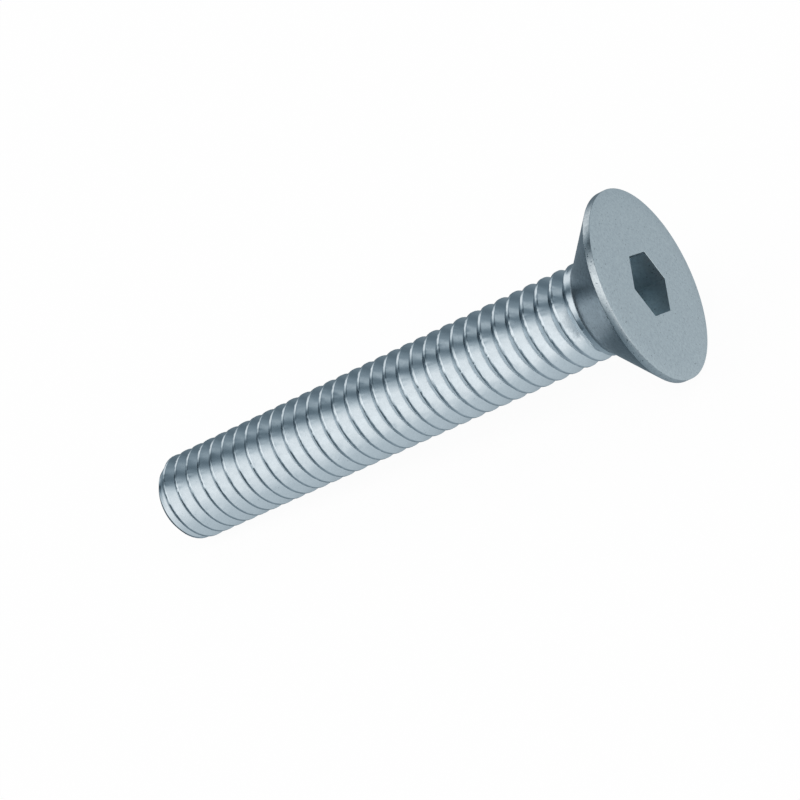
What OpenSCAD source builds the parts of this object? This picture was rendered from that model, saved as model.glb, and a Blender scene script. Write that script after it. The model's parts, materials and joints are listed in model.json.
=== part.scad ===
// Countersunk socket screw M4 x 25, threaded up to the head, as it comes to rest on its side.
// Each sub-part is made standing on the screw's own axis: the head face is at height 0 and the
// point is below it. Sizes are in millimetres.

/* [Head] */
// Diameter of the flat head face
head_d = 8; // [7:0.1:10]
// Height of the plain edge between the face and the cone
land_h = 0.3; // [0.1:0.05:0.5]
// Included angle of the cone under the head
cone_angle = 90; // [82:1:100]
// Diameter of the bare neck between the cone and the thread
neck_d = 4; // [3.99:0.01:4.3]
// Length of the bare neck
neck_h = 0.25; // [0.1:0.05:1]

/* [Socket] */
// Width across the flats of the hexagon
socket_af = 2.5; // [1.5:0.1:3]
// Depth of the hexagon
socket_depth = 1.6; // [0.8:0.1:1.8]
// Included angle of the drilled hole's point, below the hexagon
drill_angle = 120; // [110:1:140]
// Turn of the hexagon about the axis, from a corner facing down
socket_turn = 57.6; // [0:0.1:60]

/* [Thread] */
// Nominal diameter of the thread
thread_d = 4; // [3.8:0.05:4]
// Distance from one crest to the next
pitch = 0.7; // [0.5:0.05:0.8]
// Length of the screw, head included
screw_len = 25; // [10:1:30]
// How far the crests stay inside the nominal diameter, on the radius
crest_gap = 0.015; // [0.005:0.005:0.05]
// Height of the 45 degree chamfer at the point
point_h = 0.42; // [0.2:0.01:0.6]
// Height of the cone in which the groove runs out at the neck
run_out_h = 0.4; // [0.1:0.05:0.6]
// Distance from the head face to a crest, along the underside
crest_start = 3.68; // [3:0.01:4]

/* [Hidden] */
steel = [0.66, 0.71, 0.74];
$fn = 96;
// Corners of the thread around one turn
thread_sides = 24;
// How far a cutting or hidden shape runs past the face that it meets
over = 1;

head_r = head_d/2;
neck_r = neck_d/2;
cone_end = land_h + (head_r - neck_r)/tan(cone_angle/2);
neck_end = cone_end + neck_h;

// The sixty degree triangle of the thread, with a flat crest and a rounded root
triangle_h = pitch*sqrt(3)/2;
crest_r = thread_d/2 - crest_gap;
root_r = thread_d/2 - 5/8*triangle_h;
pit_r = thread_d/2 - 17/24*triangle_h;
// One pitch of the section as [share of the pitch, radius]
section = [[-1/16, crest_r], [1/16, crest_r], [3/8, root_r], [1/2, pit_r], [5/8, root_r]];
points_per_turn = len(section);
section_end = [15/16, crest_r];

// The chamfer at the point
chamfer_start = screw_len - point_h;
end_r = crest_r - point_h;

// Rest on a flat surface: the edge of the head and the last crest both touch it
function share(d) = let (x = (crest_start - d)/pitch + 1/16) x - floor(x) - 1/16;
function thread_r(d) = lookup(share(d), concat(section, [section_end]));
function underside_r(d) = min(thread_r(d), crest_r - max(0, d - chamfer_start));
slopes = [for (d = [screw_len - 2*pitch:pitch/200:screw_len])
    (head_r - underside_r(d))/(d - land_h)];
tilt = atan(min(slopes));
face_z = head_r*cos(tilt) + land_h*sin(tilt);
face_x = (screw_len*cos(tilt) + (end_r - head_r)*sin(tilt))/2;

// Flat face, edge, cone, neck and the cone of the run-out, turned as one
module head_blank() {
    rotate_extrude() polygon([[0, 0], [head_r, 0], [head_r, -land_h], [neck_r, -cone_end],
        [neck_r, -neck_end], [pit_r - 0.05, -neck_end - run_out_h], [0, -neck_end - run_out_h]]);
}

// The rod before the thread is rolled, with the chamfer at its point
module rod_blank() {
    rotate_extrude() polygon([[0, -cone_end], [crest_r + over, -cone_end],
        [crest_r + over, over - chamfer_start], [end_r, -screw_len], [0, -screw_len]]);
}

// Right-hand thread as one closed skin, which runs past both ends of the rod
module thread() {
    low = -crest_start - (ceil((screw_len - crest_start)/pitch) + 2)*pitch;
    turns = ceil((over - cone_end - low)/pitch) + 1;
    rows = turns*points_per_turn;
    // Row j of column i, where the column after the last is the first one turn further on
    function corner(i, j) = let (q = section[j%points_per_turn], a = i*360/thread_sides)
        [q[1]*cos(a), q[1]*sin(a), low + (floor(j/points_per_turn) + q[0] + a/360)*pitch];
    function id(i, j) = i < thread_sides ? i*rows + j : j + points_per_turn;
    function top_row(i) = rows - 2 - (i < thread_sides - 1 ? 0 : points_per_turn);
    corners = [for (i = [0:thread_sides - 1], j = [0:rows - 1]) corner(i, j)];
    skin = [for (i = [0:thread_sides - 1], j = [0:top_row(i)]) each
        [[id(i, j), id(i, j + 1), id(i + 1, j + 1)], [id(i, j), id(i + 1, j + 1), id(i + 1, j)]]];
    // Each end is a spiral rim, closed by a fan of triangles from a point on the axis
    foot_rim = [for (i = [0:thread_sides - 1]) id(i, 0), for (j = [points_per_turn:-1:1]) id(0, j)];
    top_rim = [for (i = [0:thread_sides - 1]) id(i, rows - 1),
        for (j = [2:points_per_turn + 1]) id(thread_sides - 1, rows - j)];
    rim_size = len(foot_rim);
    foot = [for (k = [0:rim_size - 1]) [foot_rim[k], foot_rim[(k + 1)%rim_size], len(corners)]];
    top = [for (k = [0:rim_size - 1]) [top_rim[(k + 1)%rim_size], top_rim[k], len(corners) + 1]];
    polyhedron(concat(corners, [[0, 0, low], [0, 0, low + turns*pitch]]), concat(skin, foot, top));
}

// Hexagon with the drilled point below it
module socket() {
    translate([0, 0, -socket_depth]) {
        rotate(socket_turn) cylinder(h = socket_depth + over, d = socket_af/cos(30), $fn = 6);
        translate([0, 0, -socket_af/2/tan(drill_angle/2)])
            cylinder(h = socket_af/2/tan(drill_angle/2), r1 = 0, d2 = socket_af);
    }
}

module screw() {
    color(steel) translate([face_x, 0, face_z]) rotate([0, 90 - tilt, 0]) difference() {
        union() {
            head_blank();
            intersection() {
                thread();
                rod_blank();
            }
        }
        socket();
    }
}

screw();
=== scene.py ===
"""Countersunk socket screw, M4 x 25, lying on its side: its skin, plating, stage and camera.

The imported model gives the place: the record's hex_socket mount is the centre of the head face and
the direction of the screw's axis. Everything here is in metres in the same frame, and sizes of the
screw are written in millimetres.
"""

import json
import logging
import math
from dataclasses import dataclass, field
from enum import Enum

import bpy
from mathutils import Matrix, Vector, noise


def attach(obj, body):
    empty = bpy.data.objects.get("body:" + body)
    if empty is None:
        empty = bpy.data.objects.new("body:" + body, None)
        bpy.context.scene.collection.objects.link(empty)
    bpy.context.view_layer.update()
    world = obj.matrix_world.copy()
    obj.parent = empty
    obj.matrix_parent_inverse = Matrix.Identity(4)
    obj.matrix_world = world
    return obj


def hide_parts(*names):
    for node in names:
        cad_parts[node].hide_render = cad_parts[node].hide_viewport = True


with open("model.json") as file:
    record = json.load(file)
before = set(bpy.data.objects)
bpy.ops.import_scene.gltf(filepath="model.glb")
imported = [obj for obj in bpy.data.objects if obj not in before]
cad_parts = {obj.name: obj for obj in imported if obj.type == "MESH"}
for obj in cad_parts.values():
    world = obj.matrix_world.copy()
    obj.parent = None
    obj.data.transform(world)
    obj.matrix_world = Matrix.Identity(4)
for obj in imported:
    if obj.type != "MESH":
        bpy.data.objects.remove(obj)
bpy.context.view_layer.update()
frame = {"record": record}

LOG = logging.getLogger("screw")
MM = 0.001
WHITE = (1.0, 1.0, 1.0, 1.0)
# Degrees from one corner of a hexagon to the next
HEX_STEP = 60.0
# Shares at which rings divide the drilled point, the socket's walls and the head face
QUARTERS = (0.25, 0.5, 0.75, 1.0)
# Degrees between two faces from which the edge between them is drawn sharp
SHARP_ANGLE = 32.0
# Radius and depth of one point of a turned section, in mm
SectionPoint = tuple[float, float]


def linear(hex_colour: str) -> tuple[float, float, float, float]:
    """Turns an sRGB hex colour into the linear colour that Blender's sockets take.

    Args:
        hex_colour: six hex digits, such as "9aa8b0".

    Returns:
        Linear red, green and blue, and an alpha of 1.
    """
    shares = [int(hex_colour[k:k + 2], 16) / 255 for k in (0, 2, 4)]
    return (*[c / 12.92 if c <= 0.04045 else ((c + 0.055) / 1.055) ** 2.4 for c in shares], 1.0)


def add_node(tree: bpy.types.NodeTree, kind: str, settings: dict | None = None,
             links: dict | None = None) -> bpy.types.Node:
    """Adds one node with its settings and links.

    Args:
        tree: node tree that takes the node.
        kind: Blender's name for the kind of node.
        settings: values by name or number, of an input where the name is one, or else of the node.
        links: output sockets by the name or number of the input that they feed.

    Returns:
        The new node.
    """
    node = tree.nodes.new(kind)
    for name, value in (settings or {}).items():
        if isinstance(name, int) or name in node.inputs:
            node.inputs[name].default_value = value
        else:
            setattr(node, name, value)
    for name, socket in (links or {}).items():
        tree.links.new(socket, node.inputs[name])
    return node


def smooth_max(a: float, b: float, width: float) -> float:
    """Gives the larger of two values, rounded over where they are within width of each other."""
    mix = max(width - abs(a - b), 0.0) / width
    return max(a, b) + mix * mix * width / 4


@dataclass(frozen=True)
class ScrewAxis:
    """The screw's own axis, which turns radii, azimuths and depths into places in the frame.

    Attributes:
        face: centre of the head face, in metres.
        out: direction out of the head.
    """

    face: Vector
    out: Vector

    @classmethod
    def from_mount(cls, name: str) -> "ScrewAxis":
        """Reads the axis from the record's mount of this name, at the centre of the head face."""
        mount = next(m for m in frame["record"]["mounts"] if m["name"] == name)
        return cls(Vector(mount["pos_m"]), Vector(mount["axis"]).normalized())

    @property
    def side(self) -> Vector:
        """Level direction across the screw."""
        return Vector((0.0, 1.0, 0.0))

    @property
    def down(self) -> Vector:
        """Direction of azimuth 0, to the underside."""
        return self.side.cross(self.out)

    def place(self, radius: float, azimuth: float, depth: float) -> Vector:
        """Gives the place of a point on the screw.

        Args:
            radius: distance from the axis, in mm.
            azimuth: angle round the axis from the underside, in degrees, right-handed about the
                way out of the head.
            depth: distance below the head face, in mm.

        Returns:
            The place in the frame, in metres.
        """
        turn = math.radians(azimuth)
        spoke = self.down * math.cos(turn) + self.side * math.sin(turn)
        return self.face + (spoke * radius - self.out * depth) * MM


@dataclass(frozen=True)
class HexSocket:
    """Hexagon socket with a drilled point below it, in mm and degrees.

    Attributes:
        across_flats: width of the hexagon.
        depth: depth of its walls below the head face.
        turn: azimuth of one of its corners.
        drill_angle: full angle of the drilled point.
        shelf: width of the step between the flats and the drilled point.
        mouth_bevel: width and depth of the bevel at the mouth.
    """

    across_flats: float = 2.5
    depth: float = 1.6
    turn: float = 57.6
    drill_angle: float = 120.0
    shelf: float = 0.01
    mouth_bevel: float = 0.008

    def outline(self, azimuth: float, grow: float = 0.0) -> float:
        """Gives the hexagon's radius at an azimuth, with its flats moved out by grow."""
        from_flat = (azimuth - self.turn) % HEX_STEP - HEX_STEP / 2
        return (self.across_flats / 2 + grow) / math.cos(math.radians(from_flat))

    @property
    def drill_radius(self) -> float:
        """Radius of the drilled point, just inside the flats."""
        return self.across_flats / 2 - self.shelf

    @property
    def point_depth(self) -> float:
        """Depth of the drilled point below the head face."""
        return self.depth + self.drill_radius / math.tan(math.radians(self.drill_angle / 2))


@dataclass(frozen=True)
class CountersunkHead:
    """Flat face, narrow edge, 90 degree cone and neck, in mm and degrees.

    Attributes:
        radius: radius of the head.
        land: length of the edge along the axis.
        cone_angle: full angle of the cone.
        neck_radius: radius of the neck.
        neck: length of the neck, down to the thread's run-out.
        rim_round: radius of the round between face and edge.
        foot_round: radius of the round between edge and cone.
        neck_round: radius of the round between cone and neck.
        edge_steps: straight stretches in each round of the edge.
        neck_steps: straight stretches in the round at the neck.
        cone_steps: stretches that rings divide the cone into.
    """

    radius: float = 4.0
    land: float = 0.3
    cone_angle: float = 90.0
    neck_radius: float = 1.985
    neck: float = 0.22
    rim_round: float = 0.012
    foot_round: float = 0.03
    neck_round: float = 0.14
    edge_steps: int = 3
    neck_steps: int = 4
    cone_steps: int = 6

    @property
    def cone_end(self) -> float:
        """Depth at which the cone meets the neck."""
        half = math.radians(self.cone_angle / 2)
        return self.land + (self.radius - self.neck_radius) / math.tan(half)

    @property
    def neck_end(self) -> float:
        """Depth at which the thread's run-out begins."""
        return self.cone_end + self.neck

    @property
    def foot(self) -> SectionPoint:
        """Corner between the edge and the cone."""
        return self.radius, self.land

    @property
    def root(self) -> SectionPoint:
        """Corner between the cone and the neck."""
        return self.neck_radius, self.cone_end

    def corner(self, before: SectionPoint, at: SectionPoint, after: SectionPoint, radius: float,
               steps: int) -> list[SectionPoint]:
        """Rounds one corner of the head's section with an arc.

        Args:
            before: the section's point before the corner.
            at: the corner.
            after: the point after the corner.
            radius: radius of the arc.
            steps: number of straight stretches in the arc.

        Returns:
            The arc's points, from the side of before to the side of after.
        """
        corner = Vector(at)
        to_before = (Vector(before) - corner).normalized()
        to_after = (Vector(after) - corner).normalized()
        half = to_before.angle(to_after) / 2
        centre = corner + (to_before + to_after).normalized() * (radius / math.sin(half))
        start = corner + to_before * (radius / math.tan(half)) - centre
        end = corner + to_after * (radius / math.tan(half)) - centre
        sweep = start.angle_signed(end)
        return [tuple(centre + Matrix.Rotation(-sweep * k / steps, 2) @ start)
                for k in range(steps + 1)]

    def edge_section(self) -> list[SectionPoint]:
        """Gives the turned section of the edge with the rounds on both its sides.

        Returns:
            The section's points, from the face to the cone.
        """
        face_centre = (0.0, 0.0)
        rim = (self.radius, 0.0)
        return [*self.corner(face_centre, rim, self.foot, self.rim_round, self.edge_steps),
                *self.corner(rim, self.foot, self.root, self.foot_round, self.edge_steps)]

    def cone_section(self) -> list[SectionPoint]:
        """Gives the turned section of the cone with the round at the neck.

        Returns:
            The section's points, from the edge to the neck.
        """
        foot, root = Vector(self.foot), Vector(self.root)
        end = (self.neck_radius, self.neck_end)
        return [*[tuple(foot.lerp(root, k / self.cone_steps)) for k in range(1, self.cone_steps)],
                *self.corner(self.foot, self.root, end, self.neck_round, self.neck_steps)]


@dataclass(frozen=True)
class MetricThread:
    """Right-hand rolled thread with its run-out at the neck and its chamfered point, in mm.

    Its flanks are drawn flatter than the solid's 60 degree thread, which shows a bright flank on
    the head's side of each crest and a thin dark line behind it, as plated threads do in soft
    light.

    Attributes:
        major_radius: half the thread's nominal diameter.
        pitch: distance from crest to crest.
        length: depth of the point's end below the head face.
        crest_gap: how far the crests lie inside the nominal radius.
        crest_start: depth of a crest at azimuth 0.
        head_flank: degrees from the radial plane to the flank on the head's side.
        tip_flank: degrees from the radial plane to the flank on the point's side.
        crest_flat: half the width of a crest, as a share of the pitch.
        crest_round: height over which a crest is rounded into its flanks.
        root_round: height over which the flanks are rounded into each other.
        point: height and length of the 45 degree chamfer at the point.
        run_out: length of the cone in which the thread runs out at the neck.
        run_out_radius: radius of that cone's small end.
        blend: height over which the run-out and the chamfer are rounded into the thread.
        wear: depth of the dents in the crests where the unevenness is 1.
        wander: shift of the flanks there, as a share of the pitch.
        wear_length: length of the unevenness along the helix.
        wear_reach: how far it reaches from the middle of a crest, in half widths of the crest.
        rows: places of the mesh's rows along one pitch, with the middle of the crest at 0.
        row_gap: least distance of a row from the rings at the neck and the end, as a share of the
            rows' mean distance.
    """

    major_radius: float = 2.0
    pitch: float = 0.7
    length: float = 25.0
    crest_gap: float = 0.015
    crest_start: float = 3.68
    head_flank: float = 50.0
    tip_flank: float = 41.0
    crest_flat: float = 0.085
    crest_round: float = 0.012
    root_round: float = 0.01
    point: float = 0.42
    run_out: float = 0.3
    run_out_radius: float = 1.66
    blend: float = 0.03
    wear: float = 0.008
    wander: float = 0.03
    wear_length: float = 0.12
    wear_reach: float = 4.0
    rows: tuple[float, ...] = (
        -0.12, -0.1, -0.085, -0.07, 0.07, 0.085, 0.1, 0.12, 0.22, 0.34, 0.46, 0.553, 0.567, 0.7)
    row_gap: float = 0.35

    @property
    def crest_radius(self) -> float:
        """Radius of the crests."""
        return self.major_radius - self.crest_gap

    @property
    def end_radius(self) -> float:
        """Radius of the flat end of the point."""
        return self.crest_radius - self.point

    @property
    def least_gap(self) -> float:
        """Least distance of a row from the rings at the neck and the end."""
        return self.row_gap * self.pitch / len(self.rows)

    def climbs(self, neck_end: float) -> list[float]:
        """Gives how far each row of the mesh has climbed towards the head at azimuth 0.

        Args:
            neck_end: depth of the neck's end. The first row lies above it in every column, and
                the last row lies below the point's end.

        Returns:
            The climbs from crest_start, in pitches, with rows counted down towards the point.
        """
        first_turn = math.floor((self.crest_start - neck_end) / self.pitch) + 1
        turns = math.ceil((self.length - neck_end) / self.pitch) + 2
        return [first_turn - turn - share for turn in range(turns + 1) for share in self.rows]

    def profile(self, share: float) -> float:
        """Gives the thread's radius in its section.

        Args:
            share: place along one pitch, with crests at whole numbers, growing towards the head.

        Returns:
            The radius in mm.
        """
        ahead = share % 1.0
        head_side = (self.crest_flat - ahead) * self.pitch / math.tan(
            math.radians(self.head_flank))
        tip_side = (self.crest_flat + ahead - 1) * self.pitch / math.tan(
            math.radians(self.tip_flank))
        flanks = self.crest_radius + smooth_max(head_side, tip_side, self.root_round)
        return -smooth_max(-flanks, -self.crest_radius, self.crest_round)

    def unevenness(self, share: float, azimuth: float) -> float:
        """Gives the rolled crest's unevenness, from about -0.5 to 0.5, and 0 away from the crest.

        Args:
            share: place along one pitch, with crests at whole numbers.
            azimuth: angle round the axis, in degrees.

        Returns:
            The unevenness, which carries on along the helix from turn to turn.
        """
        along = (share + 0.5) % 1.0 - 0.5
        near_crest = max(0.0, 1.0 - abs(along) / (self.wear_reach * self.crest_flat))
        walk = (azimuth / 360 + math.floor(share + 0.5)) * math.tau * self.crest_radius
        spot = Vector((walk, along * self.pitch, 0.0)) / self.wear_length
        return near_crest * noise.noise(spot)

    def radius(self, azimuth: float, depth: float, neck_radius: float, neck_end: float) -> float:
        """Gives the shank's radius, with the run-out and the chamfer.

        Args:
            azimuth: angle round the axis, in degrees.
            depth: distance below the head face.
            neck_radius: radius of the neck that the run-out rises to.
            neck_end: depth of the neck's end.

        Returns:
            The radius in mm.
        """
        share = (self.crest_start - depth) / self.pitch - azimuth / 360
        uneven = self.unevenness(share, azimuth)
        rolled = self.profile(share + self.wander * uneven) - self.wear * abs(uneven)
        fall = (neck_radius - self.run_out_radius) / self.run_out
        rise = neck_radius - (depth - neck_end) * fall
        rolled = smooth_max(rolled, rise, self.blend)
        chamfer = self.crest_radius - (depth - self.length + self.point)
        return -smooth_max(-rolled, -chamfer, self.blend)


class SkinBuilder:
    """Collects rings of points round the screw and the faces between them."""

    def __init__(self, axis: ScrewAxis, columns: int, turn: float) -> None:
        """Starts an empty skin.

        Args:
            axis: the screw's axis.
            columns: number of columns of points round it.
            turn: azimuth of the first column, in degrees.
        """
        self.axis = axis
        self.columns = columns
        self.azimuths = [turn + 360 * k / columns for k in range(columns)]
        self.points: list[Vector] = []
        self.faces: list[tuple[int, ...]] = []
        self.finishes: list[int] = []

    def point(self, radius: float, azimuth: float, depth: float) -> int:
        """Adds one point and gives its number."""
        self.points.append(self.axis.place(radius, azimuth, depth))
        return len(self.points) - 1

    def ring(self, radii: list[float], depth: float) -> list[int]:
        """Adds a ring with one radius for each column and gives its numbers."""
        return [self.point(r, a, depth) for r, a in zip(radii, self.azimuths)]

    def circle(self, radius: float, depth: float) -> list[int]:
        """Adds a round ring and gives its numbers."""
        return self.ring([radius] * self.columns, depth)

    def band(self, inner: list[int], outer: list[int]) -> None:
        """Adds the faces between two rings.

        Args:
            inner: the ring that comes first on the way from the bottom of the socket to the point.
            outer: the ring that follows it.
        """
        for k in range(self.columns):
            after = (k + 1) % self.columns
            self.faces.append((inner[k], outer[k], outer[after], inner[after]))

    def chain(self, rings: list[list[int]]) -> list[int]:
        """Joins each ring to the one that follows it.

        Args:
            rings: rings in order on the way from the bottom of the socket to the point.

        Returns:
            The last ring.
        """
        for inner, outer in zip(rings, rings[1:]):
            self.band(inner, outer)
        return rings[-1]

    def cap(self, ring: list[int], depth: float, outward: bool) -> None:
        """Closes a ring with a fan from the axis.

        Args:
            ring: the ring.
            depth: depth of the fan's middle.
            outward: true at the end of the point, and false at the bottom of the socket.
        """
        centre = self.point(0.0, 0.0, depth)
        for k in range(self.columns):
            after = (k + 1) % self.columns
            a, b = (ring[after], ring[k]) if outward else (ring[k], ring[after])
            self.faces.append((centre, a, b))

    def finish_so_far(self, finish: "Finish") -> None:
        """Gives this finish to the faces made since the last call."""
        self.finishes += [finish.number] * (len(self.faces) - len(self.finishes))

    def mesh(self, name: str) -> bpy.types.Object:
        """Makes the mesh object and links it to the scene.

        Args:
            name: name of the object and its mesh.

        Returns:
            The object.
        """
        mesh = bpy.data.meshes.new(name)
        mesh.from_pydata(self.points, [], self.faces)
        mesh.polygons.foreach_set("material_index", self.finishes)
        mesh.validate()
        mesh.shade_smooth()
        mesh.set_sharp_from_angle(angle=math.radians(SHARP_ANGLE))
        piece = bpy.data.objects.new(name, mesh)
        bpy.context.scene.collection.objects.link(piece)
        return piece


@dataclass
class SocketScrew:
    """The whole screw as one closed skin.

    Attributes:
        axis: the screw's axis.
        socket: its socket.
        head: its head.
        thread: its thread.
        columns: columns of points round the axis, a multiple of 6 so that one of them stands at
            each corner of the hexagon.
        end_rings: radii of the rings in the flat end, as shares of its own radius.
    """

    axis: ScrewAxis
    socket: HexSocket = field(default_factory=HexSocket)
    head: CountersunkHead = field(default_factory=CountersunkHead)
    thread: MetricThread = field(default_factory=MetricThread)
    columns: int = 192
    end_rings: tuple[float, ...] = (0.97, 0.6, 0.3)

    def build(self) -> bpy.types.Object:
        """Builds the skin from the bottom of the socket to the end of the point.

        Returns:
            The screw's object, with the number of a finish on each face.
        """
        skin = SkinBuilder(self.axis, self.columns, self.socket.turn)
        mouth = self.build_socket(skin)
        skin.finish_so_far(Finish.SOCKET)
        cone_end = self.build_head(skin, mouth)
        end = self.build_shank(skin, cone_end)
        self.build_end(skin, end)
        skin.finish_so_far(Finish.THREAD)
        return skin.mesh("screw_body")

    def build_socket(self, skin: SkinBuilder) -> list[int]:
        """Adds the drilled point and the hexagon.

        Args:
            skin: the skin under construction.

        Returns:
            The ring at the socket's mouth.
        """
        socket = self.socket
        drilled = [skin.circle(socket.drill_radius * share,
                               socket.point_depth + (socket.depth - socket.point_depth) * share)
                   for share in QUARTERS]
        skin.cap(drilled[0], socket.point_depth, outward=False)
        hexagon = [socket.outline(a) for a in skin.azimuths]
        wall = socket.depth - socket.mouth_bevel
        walls = [skin.ring(hexagon, socket.mouth_bevel + wall * share)
                 for share in (*reversed(QUARTERS), 0.0)]
        mouth = skin.ring([socket.outline(a, socket.mouth_bevel) for a in skin.azimuths], 0.0)
        return skin.chain([*drilled, *walls, mouth])

    def build_head(self, skin: SkinBuilder, mouth: list[int]) -> list[int]:
        """Adds the face, the edge and the cone, and finishes each.

        Args:
            skin: the skin under construction.
            mouth: the ring at the socket's mouth.

        Returns:
            The ring at the foot of the round between cone and neck.
        """
        edge_section = self.head.edge_section()
        face_radius = edge_section[0][0]
        mouth_radii = [self.socket.outline(a, self.socket.mouth_bevel) for a in skin.azimuths]
        face = [skin.ring([r * (1 - share) + face_radius * share for r in mouth_radii], 0.0)
                for share in QUARTERS]
        last = skin.chain([mouth, *face])
        skin.finish_so_far(Finish.FACE)
        for section, finish in ((edge_section[1:], Finish.EDGE),
                                (self.head.cone_section(), Finish.CONE)):
            last = skin.chain([last, *[skin.circle(*point) for point in section]])
            skin.finish_so_far(finish)
        return last

    def build_shank(self, skin: SkinBuilder, cone_end: list[int]) -> list[int]:
        """Adds the neck and the thread, whose rows climb with the helix.

        Args:
            skin: the skin under construction.
            cone_end: the ring that the neck starts from.

        Returns:
            The ring at the screw's end.
        """
        neck = skin.circle(self.head.neck_radius, self.head.neck_end)
        skin.band(cone_end, neck)
        threaded = [self.build_column(skin, azimuth) for azimuth in skin.azimuths]
        end = skin.circle(self.thread.end_radius, self.thread.length)
        for column, here in enumerate(threaded):
            after = (column + 1) % self.columns
            # Across the seam, a row meets the row that stands one turn further on
            shift = len(self.thread.rows) if after == 0 else 0
            there = {row + shift: point for row, point in threaded[after].items()}
            self.join_columns(skin, here, there, (neck[column], neck[after]),
                              (end[column], end[after]))
        return end

    def build_column(self, skin: SkinBuilder, azimuth: float) -> dict[int, int]:
        """Adds one column of the thread's points.

        Args:
            skin: the skin under construction.
            azimuth: azimuth of the column, in degrees.

        Returns:
            The points' numbers by row, for the rows between the neck and the end.
        """
        thread, top = self.thread, self.head.neck_end
        points = {}
        for row, climb in enumerate(thread.climbs(top)):
            depth = thread.crest_start - (climb + azimuth / 360) * thread.pitch
            if top + thread.least_gap < depth < thread.length - thread.least_gap:
                radius = thread.radius(azimuth, depth, self.head.neck_radius, top)
                points[row] = skin.point(radius, azimuth, depth)
        return points

    def join_columns(self, skin: SkinBuilder, here: dict[int, int], there: dict[int, int],
                     top: tuple[int, int], bottom: tuple[int, int]) -> None:
        """Adds the faces between two neighbouring columns.

        Args:
            skin: the skin under construction.
            here: points by row in this column.
            there: points by row in the next column.
            top: the two columns' points on the neck's ring.
            bottom: their points on the end's ring.
        """
        shared = sorted(set(here) & set(there))
        for a, b in zip(shared, shared[1:]):
            skin.faces.append((here[a], here[b], there[b], there[a]))
        first, last = shared[0], shared[-1]
        above_here = [here[r] for r in sorted(here) if r <= first]
        above_there = [there[r] for r in sorted(there) if r <= first]
        skin.faces.append((top[0], *above_here, *reversed(above_there), top[1]))
        below_here = [here[r] for r in sorted(here) if r >= last]
        below_there = [there[r] for r in sorted(there) if r >= last]
        skin.faces.append((*below_here, bottom[0], bottom[1], *reversed(below_there)))

    def build_end(self, skin: SkinBuilder, end: list[int]) -> None:
        """Adds the flat end of the point.

        Args:
            skin: the skin under construction.
            end: the ring at the screw's end.
        """
        radius, depth = self.thread.end_radius, self.thread.length
        rings = [skin.circle(radius * share, depth) for share in self.end_rings]
        skin.cap(skin.chain([end, *rings]), depth, outward=True)


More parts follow.
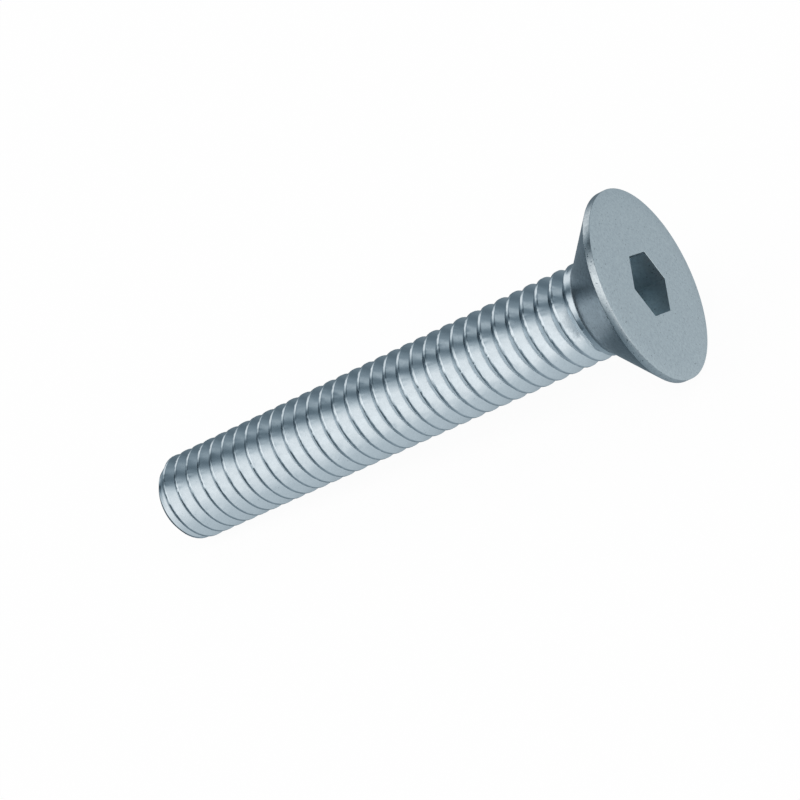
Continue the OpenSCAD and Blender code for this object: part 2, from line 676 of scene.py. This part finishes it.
@dataclass(frozen=True)
class ZincPlatedSteel:
    """Bright zinc plating with a blue passivation on cold formed steel.

    It gives the eye a cool grey metal with soft reflections, a cloudy grain of fine zinc crystals,
    a few darker pits, and the slight waviness that rolling leaves. The crystals are much finer
    than a pixel of the picture, so the grain is drawn coarser than it is, for it to show.

    Attributes:
        name: name of the material.
        colour: colour of the plating between the clouds.
        cloud: its colour in the clouds.
        pit: its colour in the pits.
        roughness: roughness between the clouds.
        cloud_roughness: roughness in the clouds.
        cloud_mm: size of the clouds.
        cloud_detail: octaves of finer grain in the clouds.
        cloud_gain: strength of each of these octaves against the one before.
        clear_at: value of the noise below which there is no cloud.
        cloudy_at: value above which a cloud is full.
        pit_mm: size of the noise that gives the pits.
        pit_from: value of that noise above which a pit begins.
        pit_to: value above which a pit is full.
        plain_detail: octaves of finer noise in the pits and the waves.
        grain_height_mm: height of the grain.
        wave_mm: length of the waves.
        wave_height_mm: height of the waves.
    """

    name: str = "zinc_plated_steel"
    colour: str = "a8b5bb"
    cloud: str = "9daab1"
    pit: str = "5f6c74"
    roughness: float = 0.19
    cloud_roughness: float = 0.27
    cloud_mm: float = 0.12
    cloud_detail: float = 3.0
    cloud_gain: float = 0.6
    clear_at: float = 0.35
    cloudy_at: float = 0.65
    pit_mm: float = 0.07
    pit_from: float = 0.68
    pit_to: float = 0.76
    plain_detail: float = 1.0
    grain_height_mm: float = 0.0026
    wave_mm: float = 0.9
    wave_height_mm: float = 0.005

    def material(self) -> bpy.types.Material:
        """Makes the material.

        Returns:
            The node material.
        """
        material = bpy.data.materials.new(self.name)
        material.use_nodes = True
        tree = material.node_tree
        tree.nodes.clear()
        place = add_node(tree, "ShaderNodeTexCoord").outputs["Object"]
        clouds = add_node(tree, "ShaderNodeTexNoise", {
            "Scale": 1 / (self.cloud_mm * MM), "Detail": self.cloud_detail,
            "Roughness": self.cloud_gain}, {"Vector": place})
        pits = add_node(tree, "ShaderNodeTexNoise", {
            "Scale": 1 / (self.pit_mm * MM), "Detail": self.plain_detail}, {"Vector": place})
        waves = add_node(tree, "ShaderNodeTexNoise", {
            "Scale": 1 / (self.wave_mm * MM), "Detail": self.plain_detail}, {"Vector": place})
        cloudy = add_node(tree, "ShaderNodeMapRange", {
            "From Min": self.clear_at, "From Max": self.cloudy_at},
            {"Value": clouds.outputs["Fac"]})
        pitted = add_node(tree, "ShaderNodeMapRange", {
            "From Min": self.pit_from, "From Max": self.pit_to}, {"Value": pits.outputs["Fac"]})
        plating = add_node(tree, "ShaderNodeMix", {
            "data_type": "RGBA", 6: linear(self.colour), 7: linear(self.cloud)},
            {0: cloudy.outputs["Result"]})
        colour = add_node(tree, "ShaderNodeMix", {"data_type": "RGBA", 7: linear(self.pit)}, {
            0: pitted.outputs["Result"], 6: plating.outputs[2]})
        roughness = add_node(tree, "ShaderNodeMapRange", {
            "From Min": self.clear_at, "From Max": self.cloudy_at, "To Min": self.roughness,
            "To Max": self.cloud_roughness}, {"Value": clouds.outputs["Fac"]})
        wavy = add_node(tree, "ShaderNodeBump", {"Distance": self.wave_height_mm * MM},
                        {"Height": waves.outputs["Fac"]})
        grainy = add_node(tree, "ShaderNodeBump", {"Distance": self.grain_height_mm * MM},
                          {"Height": clouds.outputs["Fac"], "Normal": wavy.outputs[0]})
        shader = add_node(tree, "ShaderNodeBsdfPrincipled", {"Metallic": 1.0}, {
            "Base Color": colour.outputs[2], "Roughness": roughness.outputs["Result"],
            "Normal": grainy.outputs[0]})
        add_node(tree, "ShaderNodeOutputMaterial", links={"Surface": shader.outputs[0]})
        return material


class Finish(Enum):
    """How the plating looks on each part of the screw, by the way the steel under it was formed.

    The cold formed face is cloudy and a little pitted, the edge is duller and more pitted, the
    cone is a faintly mottled satin, and the rolled thread is smoother and brighter. The socket's
    walls are rougher, so that they reflect evenly, and their colour is painted light: lighter and
    a little bluer than the plating, to make up for the shade in the recess.
    """

    FACE = ZincPlatedSteel()
    EDGE = ZincPlatedSteel(
        name="zinc_plated_edge", colour="9fabb1", cloud="94a0a7", pit="505d65", pit_from=0.66,
        pit_to=0.71)
    CONE = ZincPlatedSteel(
        name="zinc_plated_cone", colour="abb8c0", cloud="9aa7af", pit="77848d", cloud_mm=0.2,
        pit_from=0.58, pit_to=0.7, roughness=0.31, cloud_roughness=0.35, grain_height_mm=0.0002)
    THREAD = ZincPlatedSteel(
        name="zinc_plated_thread", colour="a6b3bb", cloud="a2afb7", pit_from=0.74, pit_to=0.84,
        roughness=0.14, cloud_roughness=0.18, grain_height_mm=0.0006, wave_height_mm=0.016)
    # Painted light: the socket's colour is lighter and a little bluer than the plating, to make up
    # for the shade in its recess
    SOCKET = ZincPlatedSteel(
        name="zinc_plated_socket", colour="afbfc6", cloud="a1b1b9", roughness=0.32,
        cloud_roughness=0.40)

    @property
    def number(self) -> int:
        """Place of this finish among the screw's materials."""
        return list(Finish).index(self)


class Ray(Enum):
    """Kinds of ray that the floor and the studio treat apart."""

    CAMERA = "Is Camera Ray"
    GLOSSY = "Is Glossy Ray"
    TRANSMISSION = "Is Transmission Ray"

    @classmethod
    def seen_by(cls, tree: bpy.types.NodeTree, rays: tuple["Ray", ...]) -> bpy.types.NodeSocket:
        """Adds the nodes that tell some kinds of ray from all others.

        Args:
            tree: node tree that takes the nodes.
            rays: the kinds to tell apart.

        Returns:
            A socket that is 1 for these kinds and 0 for all others.
        """
        path = add_node(tree, "ShaderNodeLightPath")
        seen = path.outputs[rays[0].value]
        for ray in rays[1:]:
            seen = add_node(tree, "ShaderNodeMath", {"operation": "MAXIMUM"},
                            {0: seen, 1: path.outputs[ray.value]}).outputs[0]
        return seen


@dataclass(frozen=True)
class WhiteFloor:
    """White sheet that the screw lies on.

    It gives the eye a plain white ground that still takes a soft shadow from the screw. It is
    clear to reflections, so that the metal shows the studio's own white ground in its place, and
    no edge.

    Attributes:
        colour: colour of the sheet.
        glow: share of it that is white to the camera whatever light falls on it.
        half_width: half the width of the sheet, in mm.
    """

    colour: str = "ffffff"
    glow: float = 0.95
    half_width: float = 400.0

    def material(self) -> bpy.types.Material:
        """Makes the sheet's material.

        Returns:
            The node material.
        """
        material = bpy.data.materials.new("white_sheet")
        material.use_nodes = True
        tree = material.node_tree
        tree.nodes.clear()
        seen = Ray.seen_by(tree, (Ray.CAMERA, Ray.TRANSMISSION))
        share = add_node(tree, "ShaderNodeMath", {"operation": "MULTIPLY", 1: self.glow},
                         {0: seen})
        paper = add_node(tree, "ShaderNodeBsdfDiffuse", {"Color": linear(self.colour)})
        white = add_node(tree, "ShaderNodeEmission", {"Color": WHITE, "Strength": 1.0})
        mixed = add_node(tree, "ShaderNodeMixShader", links={
            0: share.outputs[0], 1: paper.outputs[0], 2: white.outputs[0]})
        clear = add_node(tree, "ShaderNodeBsdfTransparent")
        sheet = add_node(tree, "ShaderNodeMixShader", links={
            0: Ray.seen_by(tree, (Ray.GLOSSY,)), 1: mixed.outputs[0], 2: clear.outputs[0]})
        add_node(tree, "ShaderNodeOutputMaterial", links={"Surface": sheet.outputs[0]})
        return material

    def build(self) -> bpy.types.Object:
        """Makes the sheet at the height of the floor.

        Returns:
            The floor object.
        """
        half = self.half_width * MM
        mesh = bpy.data.meshes.new("floor")
        mesh.from_pydata([(-half, -half, 0), (half, -half, 0), (half, half, 0), (-half, half, 0)],
                         [], [(0, 1, 2, 3)])
        mesh.materials.append(self.material())
        floor = bpy.data.objects.new("floor", mesh)
        bpy.context.scene.collection.objects.link(floor)
        return floor


@dataclass(frozen=True)
class SoftLight:
    """One soft light round the screw: an oval with a wide soft edge.

    Attributes:
        azimuth: degrees from the way the head points, counter-clockwise seen from above.
        elevation: degrees above the horizon.
        half_width: half the oval's width, in degrees.
        half_height: half its height, in degrees.
        softness: width of its soft edge on either side, as a share of the oval.
        strength: strength in its middle. Below 0 it is a dark flag, which takes light away.
    """

    azimuth: float
    elevation: float
    half_width: float
    half_height: float
    softness: float
    strength: float

    def glow(self, tree: bpy.types.NodeTree, way: bpy.types.NodeSocket) -> bpy.types.NodeSocket:
        """Adds the nodes of this light.

        Args:
            tree: the world's node tree.
            way: the direction that is looked up.

        Returns:
            The light's strength in that direction.
        """
        turn, rise = math.radians(self.azimuth), math.radians(self.elevation)
        centre = (math.cos(rise) * math.cos(turn), math.cos(rise) * math.sin(turn), math.sin(rise))
        local = add_node(tree, "ShaderNodeMapping", {
            "vector_type": "TEXTURE", "Location": centre, "Rotation": (0.0, -rise, turn),
            "Scale": (1.0, math.radians(self.half_width), math.radians(self.half_height))},
            {"Vector": way})
        reach = add_node(tree, "ShaderNodeVectorMath", {"operation": "LENGTH"},
                         {0: local.outputs[0]})
        fade = add_node(tree, "ShaderNodeMapRange", {
            "interpolation_type": "SMOOTHSTEP", "From Min": 1.0 - self.softness,
            "From Max": 1.0 + self.softness, "To Min": self.strength, "To Max": 0.0},
            {"Value": reach.outputs["Value"]})
        return fade.outputs["Result"]


@dataclass(frozen=True)
class SoftField:
    """Even light that grows in one direction.

    Attributes:
        level: strength sideways to that direction.
        growth: the direction, as long as the strength grows along it.
        least: strength that it doesn't fall below.
    """

    level: float
    growth: tuple[float, float, float]
    least: float = 0.03

    def glow(self, tree: bpy.types.NodeTree, way: bpy.types.NodeSocket) -> bpy.types.NodeSocket:
        """Adds the nodes of this field.

        Args:
            tree: the world's node tree.
            way: the direction that is looked up.

        Returns:
            The field's strength in that direction.
        """
        along = add_node(tree, "ShaderNodeVectorMath", {
            "operation": "DOT_PRODUCT", 1: self.growth}, {0: way})
        raised = add_node(tree, "ShaderNodeMath", {"operation": "ADD", 1: self.level},
                          {0: along.outputs["Value"]})
        return add_node(tree, "ShaderNodeMath", {"operation": "MAXIMUM", 1: self.least},
                        {0: raised.outputs[0]}).outputs[0]


@dataclass(frozen=True)
class Studio:
    """Cool dim room over a white ground, with soft warm-white lights, as the world of the scene.

    The ground is bright where the head faces and falls off behind the screw.

    Attributes:
        ground: light from below the horizon.
        room: light from above it.
        horizon: height over which the one turns into the other, on either side of the horizon, as
            the sine of its elevation.
        shade: colour of the light where there is next to none.
        paper: its colour on the white ground.
        paper_level: strength from which it has that colour.
        lamp: its colour in the lamps.
        lamp_level: strength from which it has that colour.
        lights: the soft lights.
    """

    ground: SoftField = SoftField(0.551, (0.58, -0.106, -0.33), 0.18)
    room: SoftField = SoftField(0.15, (0.06, 0.28, -0.24))
    horizon: float = 0.26
    shade: str = "c9ebff"
    paper: str = "f7fcff"
    paper_level: float = 0.9
    lamp: str = "fff8f4"
    lamp_level: float = 1.8
    # Those with an azimuth below 0 stand beyond the screw, and the others on the camera's side of
    # it. The last is the flag that shades the underside of the cone
    lights: tuple[SoftLight, ...] = (
        SoftLight(-83.0, 9.0, 19.0, 52.0, 0.13, 0.87),
        SoftLight(-31.0, 26.0, 23.0, 38.0, 0.67, 1.82),
        SoftLight(-123.0, 50.0, 29.0, 23.0, 0.66, 2.05),
        SoftLight(131.0, 38.0, 18.0, 20.0, 0.75, 1.50),
        SoftLight(-86.0, 14.0, 29.0, 15.0, 0.90, 1.20),
        SoftLight(60.0, 51.0, 24.0, 18.0, 0.89, 0.46),
        SoftLight(41.0, 49.0, 14.0, 5.0, 0.60, 0.40),
        SoftLight(136.0, -8.0, 14.0, 11.0, 0.90, 0.09),
        SoftLight(148.0, -47.0, 26.0, 14.0, 0.80, -0.11),
    )

    def level(self, tree: bpy.types.NodeTree, way: bpy.types.NodeSocket) -> bpy.types.NodeSocket:
        """Adds the nodes for how strong the light is.

        Args:
            tree: the world's node tree.
            way: the direction that is looked up.

        Returns:
            The light's strength in that direction.
        """
        height = add_node(tree, "ShaderNodeSeparateXYZ", links={0: way}).outputs["Z"]
        above = add_node(tree, "ShaderNodeMapRange", {
            "interpolation_type": "SMOOTHSTEP", "From Min": -self.horizon,
            "From Max": self.horizon}, {"Value": height})
        level = add_node(tree, "ShaderNodeMix", {"data_type": "FLOAT"}, {
            0: above.outputs["Result"], 2: self.ground.glow(tree, way),
            3: self.room.glow(tree, way)}).outputs[0]
        for light in self.lights:
            level = add_node(tree, "ShaderNodeMath", {"operation": "ADD"},
                             {0: level, 1: light.glow(tree, way)}).outputs[0]
        return level

    def tint(self, tree: bpy.types.NodeTree, level: bpy.types.NodeSocket) -> bpy.types.NodeSocket:
        """Adds the nodes for the light's colour, bluer where it is dim and warmer in the lamps.

        Args:
            tree: the world's node tree.
            level: the light's strength.

        Returns:
            The light's colour at that strength.
        """
        dim = add_node(tree, "ShaderNodeMapRange", {"From Max": self.paper_level},
                       {"Value": level})
        bright = add_node(tree, "ShaderNodeMapRange", {
            "From Min": self.paper_level, "From Max": self.lamp_level}, {"Value": level})
        cool = add_node(tree, "ShaderNodeMix", {
            "data_type": "RGBA", 6: linear(self.shade), 7: linear(self.paper)},
            {0: dim.outputs["Result"]})
        return add_node(tree, "ShaderNodeMix", {"data_type": "RGBA", 7: linear(self.lamp)},
                        {0: bright.outputs["Result"], 6: cool.outputs[2]}).outputs[2]

    def build(self) -> bpy.types.World:
        """Makes the world and gives it to the scene.

        Returns:
            The world, white to the camera and lit for everything else.
        """
        world = bpy.data.worlds.new("studio")
        world.use_nodes = True
        tree = world.node_tree
        tree.nodes.clear()
        way = add_node(tree, "ShaderNodeTexCoord").outputs["Generated"]
        level = self.level(tree, way)
        lit = add_node(tree, "ShaderNodeBackground", links={0: self.tint(tree, level), 1: level})
        white = add_node(tree, "ShaderNodeBackground", {"Color": WHITE, "Strength": 1.0})
        mixed = add_node(tree, "ShaderNodeMixShader", links={
            0: Ray.seen_by(tree, (Ray.CAMERA,)), 1: lit.outputs[0], 2: white.outputs[0]})
        add_node(tree, "ShaderNodeOutputWorld", links={"Surface": mixed.outputs[0]})
        bpy.context.scene.world = world
        return world


@dataclass(frozen=True)
class PhotoCamera:
    """Camera that sees the screw as the photograph does.

    The angles come from the outlines of the head face, the crests and the socket.

    Attributes:
        axis: the screw's axis.
        picture_px: width of the picture, in pixels.
        focal_px: focal length, in pixels.
        distance: distance of the head face along the view, in mm.
        face_right: how far the centre of the face lies right of the view's middle, as a share of
            the distance.
        face_down: how far it lies below the view's middle, as a share of the distance.
        lean: degrees by which the screw's axis rises to the right in the picture.
        turn: degrees by which the head points out of the picture to the camera.
        roll: degrees by which the screw is turned about its axis, which says which side is up.
        sensor: width of the sensor, in mm.
        near: distance from which the camera sees, in mm.
        far: distance up to which it sees, in mm.
    """

    axis: ScrewAxis
    picture_px: float = 800.0
    focal_px: float = 2203.5
    distance: float = 84.83
    face_right: float = 0.11343
    face_down: float = -0.05287
    lean: float = 24.968
    turn: float = 31.871
    roll: float = 60.0
    sensor: float = 36.0
    near: float = 1.0
    far: float = 10000.0

    def to_frame(self) -> Matrix:
        """Gives the turn from the picture's directions to the frame's.

        Returns:
            The turn, for directions with x to the right, y down and z away from the camera.
        """
        lean, turn, roll = (math.radians(a) for a in (self.lean, self.turn, self.roll))
        # The screw's axis and two spokes as the camera sees them
        seen_out = Vector((math.cos(turn) * math.cos(lean), -math.cos(turn) * math.sin(lean),
                           -math.sin(turn)))
        seen_across = Vector((-math.sin(lean), -math.cos(lean), 0.0))
        seen_towards = seen_out.cross(seen_across)
        # The same three directions in the frame
        towards = -self.axis.down * math.cos(roll) - self.axis.side * math.sin(roll)
        across = towards.cross(self.axis.out)
        seen = Matrix((seen_across, seen_towards, seen_out)).transposed()
        real = Matrix((across, towards, self.axis.out)).transposed()
        return real @ seen.transposed()

    def build(self) -> bpy.types.Object:
        """Makes the camera and gives it to the scene.

        Returns:
            The camera object.
        """
        data = bpy.data.cameras.new("photo_camera")
        data.sensor_width = self.sensor
        data.lens = self.focal_px / self.picture_px * self.sensor
        data.clip_start = self.near * MM
        data.clip_end = self.far * MM
        camera = bpy.data.objects.new("photo_camera", data)
        bpy.context.scene.collection.objects.link(camera)
        to_frame = self.to_frame()
        face = Vector((self.face_right, self.face_down, 1.0)) * self.distance * MM
        # A camera looks along its own -z, with its y up
        look = Matrix((to_frame @ Vector((1, 0, 0)), to_frame @ Vector((0, -1, 0)),
                       to_frame @ Vector((0, 0, -1)))).transposed()
        camera.matrix_world = Matrix.Translation(self.axis.face - to_frame @ face) @ look.to_4x4()
        bpy.context.scene.camera = camera
        return camera


def main() -> None:
    """Builds the screw, its finishes, the camera, the floor and the studio, and reports each."""
    logging.basicConfig(level=logging.INFO, format="%(name)s: %(message)s")
    axis = ScrewAxis.from_mount("hex_socket")
    screw = SocketScrew(axis).build()
    for finish in Finish:
        screw.data.materials.append(finish.value.material())
    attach(screw, "root")
    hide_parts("screw")
    LOG.info("%s: %d points, %d faces, %d finishes", screw.name, len(screw.data.vertices),
             len(screw.data.polygons), len(screw.data.materials))
    camera = PhotoCamera(axis).build()
    LOG.info("%s: lens of %.1f mm", camera.name, camera.data.lens)
    scene = bpy.context.scene
    scene.view_settings.view_transform = "Standard"
    floor = WhiteFloor().build()
    LOG.info("%s: stage, not part of the screw", floor.name)
    world = Studio().build()
    LOG.info("%s: world with %d nodes", world.name, len(world.node_tree.nodes))


if __name__ == "__main__":
    main()
